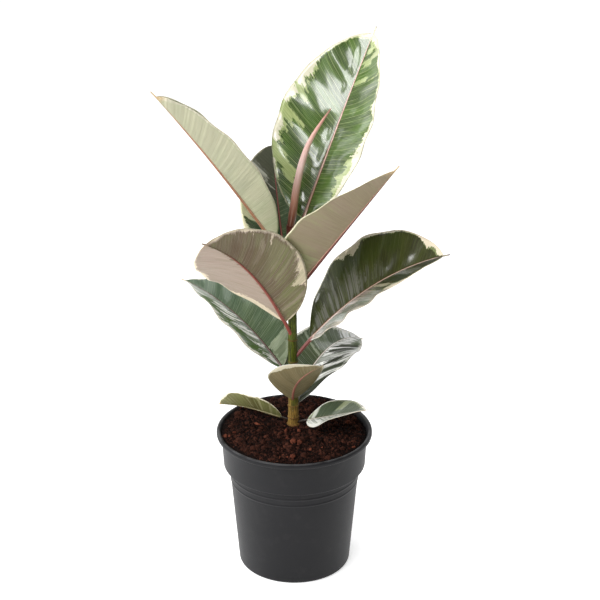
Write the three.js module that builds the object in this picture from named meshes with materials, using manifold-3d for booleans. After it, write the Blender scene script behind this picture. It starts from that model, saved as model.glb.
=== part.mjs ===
// A potted rubber plant with cream-edged leaves: a nursery pot full of soil, and one stem that carries
// eleven leaves and the rolled spear of the next one. Millimetres, Z up. The origin is the middle of the
// pot's underside, and -Y is the side from which the plant is best seen.
import * as THREE from 'three'
import { ImprovedNoise } from 'three/addons/math/ImprovedNoise.js'
import { mergeVertices } from 'three/addons/utils/BufferGeometryUtils.js'
import Module from 'manifold-3d'

const wasm = await Module()
wasm.setup()

const fitGap = 0.3

// Driving dimensions of the pot, a 17 cm nursery pot with a collar and a rolled rim.
const pot = {
  height: 160.5,
  wall: 1.5,
  sides: 44,
  footRadius: 61.3,
  footChamfer: 2,
  bodyTopRadius: 71.3,
  shoulderBottom: 117,
  shoulderEase: 1,
  collarBottom: 120.3,
  collarBottomRadius: 77.7,
  collarTop: 153.5,
  collarTopRadius: 79.5,
  rimRadius: 85,
  rimBottom: 154.7,
  rimRound: 2.2,
  rimInnerRadius: 81.2,
  rimInnerHeight: 160,
  ridgeHeights: [102, 110],
  ridgeRise: 0.7,
  ridgeHalfWidth: 1.2,
  floorTop: 5,
  recessTop: 3,
  footRingInnerRadius: 54,
  hubRadius: 16,
  drainCount: 8,
  drainCircle: 40,
  drainRadius: 5,
  drainSides: 12,
}

// Driving dimensions of the soil, whose top is highest behind the stem and sinks at the wall to its right.
const soil = {
  sides: 40,
  rings: 10,
  facetAllowance: 0.2,
  wallHeight: 157.5,
  stemHeight: 160.5,
  backRise: 3,
  dip: 3,
  dipHeading: 22,
  lumps: [{ size: 15, rise: 1.5 }, { size: 7, rise: 0.9 }],
}

// Driving dimensions of the stem, which bows slightly to the left and carries a ring below every stalk.
const stem = {
  foot: 112,
  soilLine: 160,
  top: 392,
  pegTop: 399,
  pegStep: 0.1,
  lean: -3,
  footPoint: [-1, 8],
  footRadius: 6.2,
  topRadius: 4.3,
  pegRadius: 2.4,
  pegTipRadius: 1.6,
  sides: 10,
  stepHeight: 16,
  scarRise: 0.7,
  scarHalfHeight: 1.6,
}

// The spear's middle line as [x, y, z], and its radius at even steps of that line.
const bud = {
  line: [[-4, 8, 392.3], [-1, 8, 412], [3.5, 8, 443], [10.6, 9, 472], [19.8, 10, 493.5], [38, 12, 521.5]],
  radii: [3.6, 4.3, 4.1, 4, 3.9, 3.8, 3.3, 2.6, 2, 1.4, 0.5],
  steps: 20,
  sides: 8,
}

// Driving dimensions that all leaves share. The blade is a little thicker than the real one.
const blade = {
  thickness: 1,
  midribColumns: 1,
  sideColumns: 3,
  stationLength: 12,
  widestPower: 0.95,
  tipHalfWidth: 1.1,
  dripShare: 0.04,
  dripEndHalfWidth: 0.6,
  archPower: 1.3,
  endCrowding: 0.6,
}
const stalk = {
  sides: 8,
  baseRadius: 0.6,
  radiusPerWidth: 0.0125,
  tipShare: 0.25,
  keelDepth: 1.6,
  flatShare: 0.3,
  overlapShare: 0.06,
  steps: 6,
}
const midribSteps = 60

// Each leaf, from the oldest to the youngest. node is the height at which its stalk leaves the stem.
// heading is its way out in plan, counter-clockwise from +X, and sweep is how far that turns by the tip.
// rise is the stalk's climb above level, and arch is how far it has bent down at the tip. roll turns the
// blade about its midrib, and twist adds to that by the tip. fold lifts each half, curl adds to it at the
// margin, and open takes it away by the tip. A smaller blunt makes rounder ends. waves are the heights of
// the ripples in the left and the right margin. Lengths are in mm and angles in degrees.
const leaves = [
  { name: 'leaf_01_low_right', node: 163, heading: 329, sweep: 8, rise: 23, arch: 2, petiole: 19,
    length: 75, width: 56, roll: -21, twist: 34, fold: 11, curl: 1, open: 0, blunt: 0.7, waves: [1, 1] },
  { name: 'leaf_02_low_left', node: 164, heading: 178, sweep: -38, rise: 22, arch: 42, petiole: 14,
    length: 77, width: 46, roll: -31, twist: -1, fold: 31, curl: 11, open: 4, blunt: 0.65, waves: [0.8, 1] },
  { name: 'leaf_03_back_right', node: 172, heading: 53, sweep: -9, rise: 67, arch: 96, petiole: 13,
    length: 129, width: 77, roll: -1, twist: -16, fold: 20, curl: 17, open: 26, blunt: 0.8, waves: [1, 2.5] },
  { name: 'leaf_04_front', node: 186, heading: 260, sweep: 75, rise: 60, arch: 27, petiole: 8,
    length: 85, width: 67, roll: -3, twist: 32, fold: 17, curl: 12, open: 2, blunt: 0.72, waves: [1, 1] },
  { name: 'leaf_05_left', node: 209, heading: 140, sweep: 8, rise: 45, arch: 34, petiole: 23,
    length: 151, width: 95, roll: 0, twist: -13, fold: 16, curl: 2, open: 0, blunt: 0.68, waves: [2, 1.5] },
  { name: 'leaf_06_right', node: 239, heading: 345, sweep: -16, rise: 55, arch: 31, petiole: 34,
    length: 193, width: 115, roll: -28, twist: -4, fold: 20, curl: 8, open: 0, blunt: 0.7, waves: [1.5, 2] },
  { name: 'leaf_07_front_left', node: 265, heading: 232, sweep: 5, rise: 61, arch: 33, petiole: 28,
    length: 190, width: 107, roll: -16, twist: -35, fold: 15, curl: 0, open: 0, blunt: 0.7, waves: [1, 1.5] },
  { name: 'leaf_08_back', node: 297, heading: 105, sweep: -11, rise: 53, arch: 17, petiole: 27,
    length: 169, width: 98, roll: -6, twist: -6, fold: 16, curl: 2, open: 0, blunt: 0.66, waves: [1.5, 1.5] },
  { name: 'leaf_09_upper_right', node: 315, heading: 311, sweep: 17, rise: 51, arch: -2, petiole: 27,
    length: 191, width: 113, roll: 9, twist: -7, fold: 29, curl: 3, open: 12, blunt: 0.65, waves: [0.8, 0.8] },
  { name: 'leaf_10_upper_left', node: 350, heading: 186, sweep: -9, rise: 57, arch: 8, petiole: 36,
    length: 195, width: 104, roll: -12, twist: -6, fold: 28, curl: 14, open: 0, blunt: 0.62, waves: [0.8, 1] },
  { name: 'leaf_11_top', node: 361, heading: 46, sweep: -8, rise: 62, arch: 0, petiole: 41,
    length: 206, width: 129, roll: -11, twist: 0, fold: 21, curl: 10, open: 0, blunt: 0.58, waves: [1.2, 1.5] },
]
const ripplePitch = 42
const rippleShift = 0.35

// Colours, with their roughness, as the photograph shows them under soft light.
const materials = {
  pot: { color: 0x3c3c3e, roughness: 0.55 },
  soil: { color: 0x35211a, roughness: 0.95 },
  stem: { color: 0x6f7a35, roughness: 0.6 },
  bud: { color: 0xc4877b, roughness: 0.4 },
  leaf: { color: 0x47613a, roughness: 0.35 },
}

const group = new THREE.Group()

function addMesh(name, geometry, look) {
  const material = new THREE.MeshStandardMaterial({ ...materials[look], metalness: 0 })
  const mesh = new THREE.Mesh(geometry, material)
  mesh.name = name
  group.add(mesh)
}

function toSolid(geometry) {
  const bare = geometry.clone()
  bare.deleteAttribute('normal')
  bare.deleteAttribute('uv')
  const merged = mergeVertices(bare)
  const vertProperties = new Float32Array(merged.attributes.position.array)
  const triVerts = new Uint32Array(merged.index.array)
  return new wasm.Manifold(new wasm.Mesh({ numProp: 3, vertProperties, triVerts }))
}

function toGeometry(solid) {
  const mesh = solid.getMesh()
  const geometry = new THREE.BufferGeometry()
  geometry.setAttribute('position', new THREE.BufferAttribute(mesh.vertProperties, 3))
  geometry.setIndex(new THREE.BufferAttribute(mesh.triVerts, 1))
  return geometry
}

// The biggest closed skin of a solid, which drops loose scraps and fills sealed hollows.
function biggestSkin(solid) {
  return solid.decompose().reduce((a, b) => (b.volume() > a.volume() ? b : a))
}

// A closed skin over rings of equal length, with a flat fan over each end. The rings run counter-clockwise
// when the eye looks back along the way from the first ring to the last.
function loft(rings) {
  const count = rings[0].length
  const points = rings.flat()
  const index = []
  for (let r = 0; r < rings.length - 1; r++) {
    for (let i = 0; i < count; i++) {
      const a = r * count + i
      const b = r * count + (i + 1) % count
      index.push(a, b, b + count, a, b + count, a + count)
    }
  }
  const last = (rings.length - 1) * count
  for (let i = 1; i < count - 1; i++) {
    index.push(0, i + 1, i, last, last + i, last + i + 1)
  }
  const geometry = new THREE.BufferGeometry().setFromPoints(points)
  geometry.setIndex(index)
  return geometry
}

function ringAround(centre, right, up, radius, sides) {
  return Array.from({ length: sides }, (_, i) => {
    const angle = i / sides * 2 * Math.PI
    return centre.clone()
      .addScaledVector(right, radius * Math.cos(angle))
      .addScaledVector(up, radius * Math.sin(angle))
  })
}

// A sheet made solid. Its front lies half a thickness before it, and its back as far behind it as depthAt
// gives for each point. Both faces keep the sheet's own triangles, so that a waved sheet's faces stay apart.
function thicken(sheet, thickness, depthAt) {
  sheet.computeVertexNormals()
  const { position, normal } = sheet.attributes
  const count = position.count
  const front = []
  const rear = []
  for (let i = 0; i < count; i++) {
    const point = new THREE.Vector3().fromBufferAttribute(position, i)
    const out = new THREE.Vector3().fromBufferAttribute(normal, i)
    front.push(point.clone().addScaledVector(out, thickness / 2))
    rear.push(point.addScaledVector(out, -depthAt(i)))
  }
  const faces = Array.from(sheet.index.array)
  const index = [...faces]
  const edges = new Map()
  for (let f = 0; f < faces.length; f += 3) {
    const corners = faces.slice(f, f + 3)
    index.push(corners[2] + count, corners[1] + count, corners[0] + count)
    corners.forEach((from, k) => edges.set(`${from} ${corners[(k + 1) % 3]}`, [from, corners[(k + 1) % 3]]))
  }
  for (const [from, to] of edges.values()) {
    if (!edges.has(`${to} ${from}`)) {
      index.push(to, from, from + count, to, from + count, to + count)
    }
  }
  const geometry = new THREE.BufferGeometry().setFromPoints([...front, ...rear])
  geometry.setIndex(index)
  return geometry
}

// The pot: one lathed wall with its ridges, collar, shoulder and rolled rim, and a floor with a foot ring,
// a middle hub that meets the ground and drain holes between them.
function bodyRadius(z) {
  return pot.footRadius + (pot.bodyTopRadius - pot.footRadius) * z / pot.shoulderBottom
}

function potOutline() {
  const outside = [[pot.footRadius - pot.footChamfer, 0], [bodyRadius(pot.footChamfer), pot.footChamfer]]
  for (const z of pot.ridgeHeights) {
    outside.push([bodyRadius(z - pot.ridgeHalfWidth), z - pot.ridgeHalfWidth])
    outside.push([bodyRadius(z) + pot.ridgeRise, z])
    outside.push([bodyRadius(z + pot.ridgeHalfWidth), z + pot.ridgeHalfWidth])
  }
  outside.push([pot.bodyTopRadius, pot.shoulderBottom])
  outside.push([pot.collarBottomRadius - pot.shoulderEase, pot.collarBottom - pot.shoulderEase])
  outside.push([pot.collarBottomRadius, pot.collarBottom])
  outside.push([pot.collarTopRadius, pot.collarTop])
  const ease = pot.rimRound * (1 - Math.SQRT1_2)
  const rim = [
    [pot.rimRadius - ease, pot.rimBottom],
    [pot.rimRadius, pot.rimBottom + pot.rimRound / 2],
    [pot.rimRadius, pot.height - pot.rimRound],
    [pot.rimRadius - ease, pot.height - ease],
    [pot.rimRadius - pot.rimRound, pot.height],
    [pot.rimInnerRadius, pot.rimInnerHeight],
  ]
  const inside = [
    [pot.collarTopRadius - pot.wall, pot.collarTop],
    [pot.collarBottomRadius - pot.wall, pot.collarBottom + pot.shoulderEase],
    [pot.bodyTopRadius - pot.wall, pot.shoulderBottom + pot.shoulderEase],
    [bodyRadius(pot.floorTop) - pot.wall, pot.floorTop],
    [0, pot.floorTop],
  ]
  const underside = [
    [0, 0],
    [pot.hubRadius, 0],
    [pot.hubRadius + 1, pot.recessTop],
    [pot.footRingInnerRadius, pot.recessTop],
    [pot.footRingInnerRadius + 1, 0],
  ]
  return [...underside, ...outside, ...rim, ...inside].map(([r, z]) => new THREE.Vector2(r, z))
}

function lathe(outline, sides) {
  const geometry = new THREE.LatheGeometry(outline, sides)
  geometry.rotateX(Math.PI / 2)
  return geometry
}

function makePot() {
  let body = toSolid(lathe(potOutline(), pot.sides))
  for (let i = 0; i < pot.drainCount; i++) {
    const angle = (i + 0.5) / pot.drainCount * 2 * Math.PI
    const length = 3 * pot.floorTop
    const drain = new THREE.CylinderGeometry(pot.drainRadius, pot.drainRadius, length, pot.drainSides)
    drain.rotateX(Math.PI / 2)
    drain.translate(pot.drainCircle * Math.cos(angle), pot.drainCircle * Math.sin(angle), pot.floorTop)
    body = body.subtract(toSolid(drain))
  }
  return toGeometry(body)
}

// The stem's middle line and radius at a height. The stem bows more and more towards its top.
function stemCentre(z) {
  const above = THREE.MathUtils.clamp((z - stem.soilLine) / (stem.top - stem.soilLine), 0, 1)
  return new THREE.Vector3(stem.footPoint[0] + stem.lean * above ** 2, stem.footPoint[1], z)
}

function stemRadius(z) {
  const taper = THREE.MathUtils.clamp((z - stem.soilLine) / (stem.top - stem.soilLine), 0, 1)
  return THREE.MathUtils.lerp(stem.footRadius, stem.topRadius, Math.sqrt(taper))
}

// The stem, or with a clearance the space that it needs. A ring stands out below every stalk.
function makeStem(clearance) {
  const radii = new Map([[stem.foot - clearance, stem.footRadius]])
  for (let z = stem.foot + stem.stepHeight; z < stem.top; z += stem.stepHeight) {
    radii.set(z, stemRadius(z))
  }
  for (const { node } of leaves) {
    radii.set(node - 2 * stem.scarHalfHeight, stemRadius(node))
    radii.set(node - stem.scarHalfHeight, stemRadius(node) + stem.scarRise)
    radii.set(node, stemRadius(node))
  }
  radii.set(stem.top + clearance, stem.topRadius)
  radii.set(stem.top + clearance + stem.pegStep, stem.pegRadius)
  radii.set(stem.pegTop + clearance, stem.pegTipRadius)
  const right = new THREE.Vector3(1, 0, 0)
  const back = new THREE.Vector3(0, 1, 0)
  const upward = [...radii].sort((a, b) => a[0] - b[0])
  return loft(upward.map(([z, radius]) =>
    ringAround(stemCentre(z), right, back, radius + clearance, stem.sides)))
}

// The soil fills the pot, just clear of its walls, and its lumpy top has a plain hole for the stem.
function soilHeight(x, y) {
  const out = Math.hypot(x, y) / pot.collarTopRadius
  const slope = THREE.MathUtils.lerp(soil.stemHeight, soil.wallHeight, out ** 2)
  const back = soil.backRise * THREE.MathUtils.smoothstep(y / pot.collarTopRadius, 0.2, 1)
  const heading = THREE.MathUtils.degToRad(soil.dipHeading)
  const towards = (x * Math.cos(heading) + y * Math.sin(heading)) / pot.collarTopRadius
  const dip = soil.dip * THREE.MathUtils.smoothstep(towards, 0.7, 1)
  const noise = new ImprovedNoise()
  const lumps = soil.lumps.map(({ size, rise }) => rise * noise.noise(x / size, y / size, size))
  return slope + back - dip + lumps.reduce((sum, lump) => sum + lump, 0)
}

// The inside of the rim's flare, from which the soil's edge keeps clear.
function flareRadius(z) {
  const share = (z - pot.collarTop) / (pot.rimInnerHeight - pot.collarTop)
  return THREE.MathUtils.lerp(pot.collarTopRadius - pot.wall, pot.rimInnerRadius, Math.min(share, 1))
}

function makeSoil(stemCut) {
  const clearance = fitGap + soil.facetAllowance
  const edgeRadius = pot.collarTopRadius - pot.wall - clearance
  const outline = [
    [0, pot.floorTop + fitGap],
    [bodyRadius(pot.floorTop) - pot.wall - clearance, pot.floorTop + fitGap],
    [pot.bodyTopRadius - pot.wall - clearance, pot.shoulderBottom + pot.shoulderEase + fitGap],
    [pot.collarBottomRadius - pot.wall - clearance, pot.collarBottom + pot.shoulderEase + fitGap],
    [edgeRadius, pot.collarTop],
  ]
  for (let i = 0; i <= soil.rings; i++) {
    outline.push([edgeRadius * (1 - i / soil.rings), soil.wallHeight])
  }
  const geometry = lathe(outline.map(([r, z]) => new THREE.Vector2(r, z)), soil.sides)
  const position = geometry.attributes.position
  for (let i = 0; i < position.count; i++) {
    if (position.getZ(i) > pot.collarTop + fitGap) {
      const [x, y] = [position.getX(i), position.getY(i)]
      const height = soilHeight(x, y)
      const outermost = Math.hypot(x, y) > edgeRadius - fitGap
      const stretch = outermost ? (flareRadius(height) - clearance) / edgeRadius : 1
      position.setXYZ(i, x * stretch, y * stretch, height)
    }
  }
  return toGeometry(toSolid(geometry).subtract(stemCut))
}

// The spear of rolled leaf in its sheath, bent to the right towards its tip, on a peg of the stem's top.
function makeBud(stemCut) {
  const line = new THREE.CatmullRomCurve3(bud.line.map((point) => new THREE.Vector3(...point)))
  const back = new THREE.Vector3(0, 1, 0)
  const rings = Array.from({ length: bud.steps + 1 }, (_, i) => {
    const share = i / bud.steps
    const right = new THREE.Vector3().crossVectors(back, line.getTangentAt(share)).normalize()
    const place = share * (bud.radii.length - 1)
    const below = Math.min(Math.floor(place), bud.radii.length - 2)
    const radius = THREE.MathUtils.lerp(bud.radii[below], bud.radii[below + 1], place - below)
    return ringAround(line.getPointAt(share), right, back, radius, bud.sides)
  })
  return toGeometry(toSolid(loft(rings)).subtract(stemCut))
}

// The way of a leaf's midrib at a distance from the stem's middle, with the blade's right-hand side and
// its upper normal there.
function leafFrame(leaf, distance) {
  const along = Math.min(distance / (leaf.petiole + leaf.length), 1)
  const climb = THREE.MathUtils.degToRad(leaf.rise - leaf.arch * along ** blade.archPower)
  const plan = THREE.MathUtils.degToRad(leaf.heading + leaf.sweep * along)
  const way = new THREE.Vector3(
    Math.cos(climb) * Math.cos(plan), Math.cos(climb) * Math.sin(plan), Math.sin(climb))
  const share = THREE.MathUtils.clamp((distance - leaf.petiole) / leaf.length, 0, 1)
  const roll = -THREE.MathUtils.degToRad(leaf.roll + leaf.twist * share)
  const right = new THREE.Vector3(Math.sin(plan), -Math.cos(plan), 0).applyAxisAngle(way, roll)
  const up = new THREE.Vector3().crossVectors(right, way)
  return { way, right, up }
}

function midribPoint(leaf, distance) {
  const point = stemCentre(leaf.node)
  const step = distance / midribSteps
  for (let i = 0; i < midribSteps; i++) {
    point.addScaledVector(leafFrame(leaf, (i + 0.5) * step).way, step)
  }
  return point
}

// Half the blade's width at a share of its length. Past its end it runs out in a narrow drip tip.
function halfWidth(leaf, share) {
  if (share > 1) {
    const past = (share - 1) / blade.dripShare
    return THREE.MathUtils.lerp(blade.tipHalfWidth, blade.dripEndHalfWidth, past)
  }
  const outline = Math.sin(Math.PI * share ** blade.widestPower) ** leaf.blunt
  return Math.max(leaf.width / 2 * outline, blade.tipHalfWidth)
}

// The midrib's half width at a share of the blade's length.
function midribRadius(leaf, share) {
  const radius = stalk.baseRadius + stalk.radiusPerWidth * leaf.width
  return radius * THREE.MathUtils.lerp(1, stalk.tipShare, THREE.MathUtils.clamp(share, 0, 1))
}

// A point of the blade's middle surface: share runs from its base to its end, and reach is the distance
// out from the midrib, negative to the left.
function bladePoint(leaf, share, reach) {
  const distance = leaf.petiole + share * leaf.length
  const { right, up } = leafFrame(leaf, distance)
  const out = Math.abs(reach) / halfWidth(leaf, share)
  const inBlade = Math.min(share, 1)
  const lift = THREE.MathUtils.degToRad(leaf.fold - leaf.open * inBlade + leaf.curl * out / 2)
  const side = reach < 0 ? 0 : 1
  const turns = share * leaf.length / ripplePitch + rippleShift * side + leaf.node / ripplePitch
  const wave = leaf.waves[side] * out ** 2 * Math.sin(2 * Math.PI * turns) * Math.sin(Math.PI * inBlade)
  return midribPoint(leaf, distance)
    .addScaledVector(right, reach * Math.cos(lift))
    .addScaledVector(up, Math.abs(reach) * Math.sin(lift) + wave)
}

// The blade is a sheet in columns along the midrib, closest beside it, and the midrib is its keel.
function makeBlade(leaf) {
  const end = 1 + blade.dripShare
  const rows = Math.round(leaf.length / blade.stationLength) + 2
  const outerColumn = blade.midribColumns + blade.sideColumns
  const sheet = new THREE.PlaneGeometry(1, 1, 2 * outerColumn, rows)
  const { position, uv } = sheet.attributes
  const depths = []
  for (let i = 0; i < position.count; i++) {
    const even = uv.getY(i)
    const share = end * (even - blade.endCrowding * Math.sin(2 * Math.PI * even) / (2 * Math.PI))
    const column = Math.round(2 * outerColumn * uv.getX(i)) - outerColumn
    const margin = halfWidth(leaf, share)
    const edge = Math.min(midribRadius(leaf, share), stalk.flatShare * margin)
    const outward = (Math.abs(column) - blade.midribColumns) / blade.sideColumns
    const reach = column === 0 ? 0 : Math.sign(column) * THREE.MathUtils.lerp(edge, margin, outward)
    const point = bladePoint(leaf, share, reach)
    position.setXYZ(i, ...point)
    depths.push(blade.thickness / 2 + (column === 0 ? stalk.keelDepth * edge : 0))
  }
  return thicken(sheet, blade.thickness, (i) => depths[i])
}

// The stalk is a rod from inside the stem to just past the blade's base, where it dies into the keel.
function makeStalk(leaf) {
  const reach = leaf.petiole + leaf.length * stalk.overlapShare
  return loft(Array.from({ length: stalk.steps + 1 }, (_, i) => {
    const distance = 1 + (reach - 1) * i / stalk.steps
    const { right, up } = leafFrame(leaf, distance)
    const past = THREE.MathUtils.clamp((distance - leaf.petiole) / (reach - leaf.petiole), 0, 1)
    const radius = midribRadius(leaf, 0) * THREE.MathUtils.lerp(1, 0.5, past)
    const centre = midribPoint(leaf, distance).addScaledVector(up, -radius * past)
    return ringAround(centre, up, right, radius, stalk.sides)
  }))
}

function makeLeaf(leaf, stemCut) {
  const whole = toSolid(makeBlade(leaf)).add(toSolid(makeStalk(leaf)))
  return toGeometry(biggestSkin(whole.subtract(stemCut)))
}

const stemCut = toSolid(makeStem(fitGap))
addMesh('pot', makePot(), 'pot')
addMesh('soil', makeSoil(stemCut), 'soil')
addMesh('stem', makeStem(0), 'stem')
addMesh('bud_spear', makeBud(stemCut), 'bud')
for (const leaf of leaves) {
  addMesh(leaf.name, makeLeaf(leaf, stemCut), 'leaf')
}

export default group
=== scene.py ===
# The looks of a potted rubber plant with cream-edged leaves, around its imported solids. Metres, Z up.
import math

import bpy
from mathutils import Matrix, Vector


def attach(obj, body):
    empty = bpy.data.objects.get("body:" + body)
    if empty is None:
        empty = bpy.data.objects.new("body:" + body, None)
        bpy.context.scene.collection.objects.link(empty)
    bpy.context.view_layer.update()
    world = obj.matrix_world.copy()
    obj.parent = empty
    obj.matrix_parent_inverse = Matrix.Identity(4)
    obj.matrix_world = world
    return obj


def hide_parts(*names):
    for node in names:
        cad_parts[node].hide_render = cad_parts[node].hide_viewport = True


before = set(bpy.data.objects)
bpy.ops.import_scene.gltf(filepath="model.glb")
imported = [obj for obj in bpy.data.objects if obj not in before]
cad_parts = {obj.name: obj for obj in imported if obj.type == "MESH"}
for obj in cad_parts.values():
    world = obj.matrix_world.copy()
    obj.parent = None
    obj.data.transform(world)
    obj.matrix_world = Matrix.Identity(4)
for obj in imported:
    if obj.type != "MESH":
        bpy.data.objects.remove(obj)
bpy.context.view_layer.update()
mm = 0.001


# The view: from a step away at standing height, looking down a little on leaves and soil.
camera = bpy.data.objects.new("camera", bpy.data.cameras.new("camera"))
camera.location = (0.0062, -1.8, 1.101)
camera.rotation_euler = (math.radians(66.36), 0, 0)
camera.data.sensor_width = 36
camera.data.lens = 111.24
bpy.context.collection.objects.link(camera)
bpy.context.scene.camera = camera


# The studio: a plain white floor that fills the view, white light from all around, and large soft
# lamps. The biggest hangs at the left, so the pot's shadow falls softly to its right.
class Field:
    """A socket in a node tree. An operator on it adds a Math node, or a Vector Math node for vectors."""

    def __init__(self, graph, socket):
        self.graph = graph
        self.socket = socket

    def maths(self, operation, *terms):
        vectors = [t for t in terms if isinstance(t, Field) and t.socket.type == "VECTOR"]
        kind = "ShaderNodeVectorMath" if vectors else "ShaderNodeMath"
        return self.graph.node(kind, dict(enumerate(terms)), operation=operation)

    def __neg__(self):
        return self * -1

    def dot(self, other):
        return self.graph.node("ShaderNodeVectorMath", {0: self, 1: other}, 1, operation="DOT_PRODUCT")

    def step(self, low, high, from_value=0.0, to_value=1.0):
        """A smooth step from one value to another between two limits."""
        return self.graph.node("ShaderNodeMapRange", {
            "Value": self, "From Min": low, "From Max": high, "To Min": from_value, "To Max": to_value},
            interpolation_type="SMOOTHSTEP")

    def between(self, low, high):
        """This field as a factor that mixes two values."""
        return low + self * (high - low)

    def part(self, axis):
        """The X, Y or Z of a vector."""
        return self.graph.node("ShaderNodeSeparateXYZ", {0: self}, axis)


def maths_method(operation, reflected=False):
    def method(field, *others):
        return field.maths(operation, *((*others, field) if reflected else (field, *others)))
    return method


for word, operation in {
        "add": "ADD", "sub": "SUBTRACT", "mul": "MULTIPLY", "truediv": "DIVIDE", "pow": "POWER"}.items():
    setattr(Field, f"__{word}__", maths_method(operation))
    setattr(Field, f"__r{word}__", maths_method(operation, reflected=True))
for word, operation in {
        "__abs__": "ABSOLUTE", "__gt__": "GREATER_THAN", "__lt__": "LESS_THAN", "sine": "SINE",
        "cosine": "COSINE", "floor": "FLOOR", "fraction": "FRACT", "at_most": "MINIMUM",
        "at_least": "MAXIMUM", "cross": "CROSS_PRODUCT"}.items():
    setattr(Field, word, maths_method(operation))


class Graph:
    """A node tree. Its method node() adds every node, and the others are short names for common ones."""

    def __init__(self, tree):
        self.tree = tree

    def node(self, kind, sockets=None, output=0, **settings):
        """Adds a node. Its settings are set first, and then the values or links of its sockets."""
        made = self.tree.nodes.new(kind)
        for name, value in settings.items():
            if name == "stops":
                ramp = made.color_ramp
                while len(ramp.elements) < len(value):
                    ramp.elements.new(1)
                for element, (place, tone) in zip(ramp.elements, value):
                    element.position = place
                    element.color = paint(*tone) if isinstance(tone, tuple) else (tone, tone, tone, 1)
            else:
                setattr(made, name, value)
        for key, value in (sockets or {}).items():
            socket = made.inputs[key]
            if isinstance(value, Field):
                self.tree.links.new(value.socket, socket)
            elif socket.type == "RGBA" and len(value) == 3:
                socket.default_value = paint(*value)
            elif socket.type == "VECTOR" and not isinstance(value, tuple):
                socket.default_value = (value, value, value)
            else:
                socket.default_value = value
        return Field(self, made.outputs[output]) if made.outputs else None

    def vector(self, x, y, z):
        return self.node("ShaderNodeCombineXYZ", {0: x, 1: y, 2: z})

    def mix(self, factor, first, second):
        """A colour between two others."""
        return self.node("ShaderNodeMix", {0: factor, 6: first, 7: second}, 2, data_type="RGBA")

    def ramp(self, value, stops):
        return self.node("ShaderNodeValToRGB", {0: value}, stops=stops)

    def curve(self, value, stops):
        """A number that follows given stops, such as a width along a leaf."""
        return self.ramp(value, stops) * 1.0

    def noise(self, place, scale, detail=2.0, roughness=0.5):
        return self.node("ShaderNodeTexNoise", {
            "Vector": place, "Scale": scale, "Detail": detail, "Roughness": roughness})

    def speck(self, place):
        """A random number for each whole-numbered place."""
        return self.node("ShaderNodeTexWhiteNoise", {0: place})

    def attribute(self, name, output="Fac"):
        return self.node("ShaderNodeAttribute", None, output, attribute_name=name)

    def place(self):
        return self.node("ShaderNodeTexCoord", None, "Object")

    def surface(self, colour, roughness, height=None, depth=0.001, **constants):
        """The shader that ends a material. Constants are sockets that stay the same all over."""
        sockets = {"Base Color": colour, "Roughness": roughness}
        sockets.update({name.replace("_", " "): value for name, value in constants.items()})
        if height is not None:
            sockets["Normal"] = self.node("ShaderNodeBump", {
                "Strength": 1.0, "Distance": depth, "Height": height})
        shader = self.node("ShaderNodeBsdfPrincipled", sockets)
        self.node("ShaderNodeOutputMaterial", {0: shader})


def new_material(name):
    material = bpy.data.materials.new(name)
    material.use_nodes = True
    material.node_tree.nodes.clear()
    return material, Graph(material.node_tree)


def paint(red, green, blue):
    """A colour as the eye reads it, from 0 to 255, turned into the light it sends back."""
    light = [((c / 255 + 0.055) / 1.055) ** 2.4 if c > 10 else c / 3295 for c in (red, green, blue)]
    return (*light, 1)


floor_reach = 6
floor = bpy.data.objects.new("floor", bpy.data.meshes.new("floor"))
floor.data.from_pydata([(x * floor_reach, y * floor_reach, 0)
                        for x, y in ((-1, -1), (1, -1), (1, 1), (-1, 1))], [], [(0, 1, 2, 3)])
bpy.context.collection.objects.link(floor)
floor_white, graph = new_material("studio white")
fleck = graph.noise(graph.place(), 3.0)
graph.surface(graph.mix(fleck, (246, 246, 246), (250, 250, 250)), 0.9,
              Emission_Color=(1, 1, 1, 1), Emission_Strength=0.6)
floor.data.materials.append(floor_white)

# The air is dim on the side that the plant is seen from, brighter at its sides and most at the left, and
# brightest low behind it, where a white backdrop would hang.
world = bpy.data.worlds.new("studio air")
world.use_nodes = True
world.node_tree.nodes.clear()
air = Graph(world.node_tree)
way = air.node("ShaderNodeTexCoord", None, "Generated")
sides = air.mix(way.part(0).step(-0.6, 0.8), (0.4, 0.4, 0.4, 1), (0.22, 0.22, 0.22, 1))
beside = air.mix(way.part(1).step(-0.95, 0.0), (0.06, 0.06, 0.06, 1), sides)
backdrop = way.part(1).step(0.0, 0.8) * way.part(2).step(0.8, 0.2)
glow = air.node("ShaderNodeBackground", {
    "Color": air.mix(backdrop, beside, (0.95, 0.95, 0.95, 1)), "Strength": 1.0})
air.node("ShaderNodeOutputWorld", {0: glow})
bpy.context.scene.world = world
bpy.context.scene.view_settings.view_transform = "Standard"


lamp_aim = (0, 0, 0.3)


def soft_lamp(name, place, size, power):
    lamp = bpy.data.objects.new(name, bpy.data.lights.new(name, "AREA"))
    lamp.data.shape = "RECTANGLE"
    lamp.data.size, lamp.data.size_y = size
    lamp.data.energy = power
    lamp.location = place
    lamp.rotation_euler = (Vector(place) - Vector(lamp_aim)).to_track_quat("Z", "Y").to_euler()
    bpy.context.collection.objects.link(lamp)


soft_lamp("key", (-0.85, -1.8, 1.95), (1.3, 0.7), 34)
soft_lamp("side_left", (-1.8, -0.8, 1.4), (0.9, 0.9), 25)
soft_lamp("back_left", (-1.5, 1.2, 1.0), (0.9, 1.4), 8)
soft_lamp("top_back", (-0.3, 1.0, 2.2), (1.6, 1.2), 12)


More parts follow.
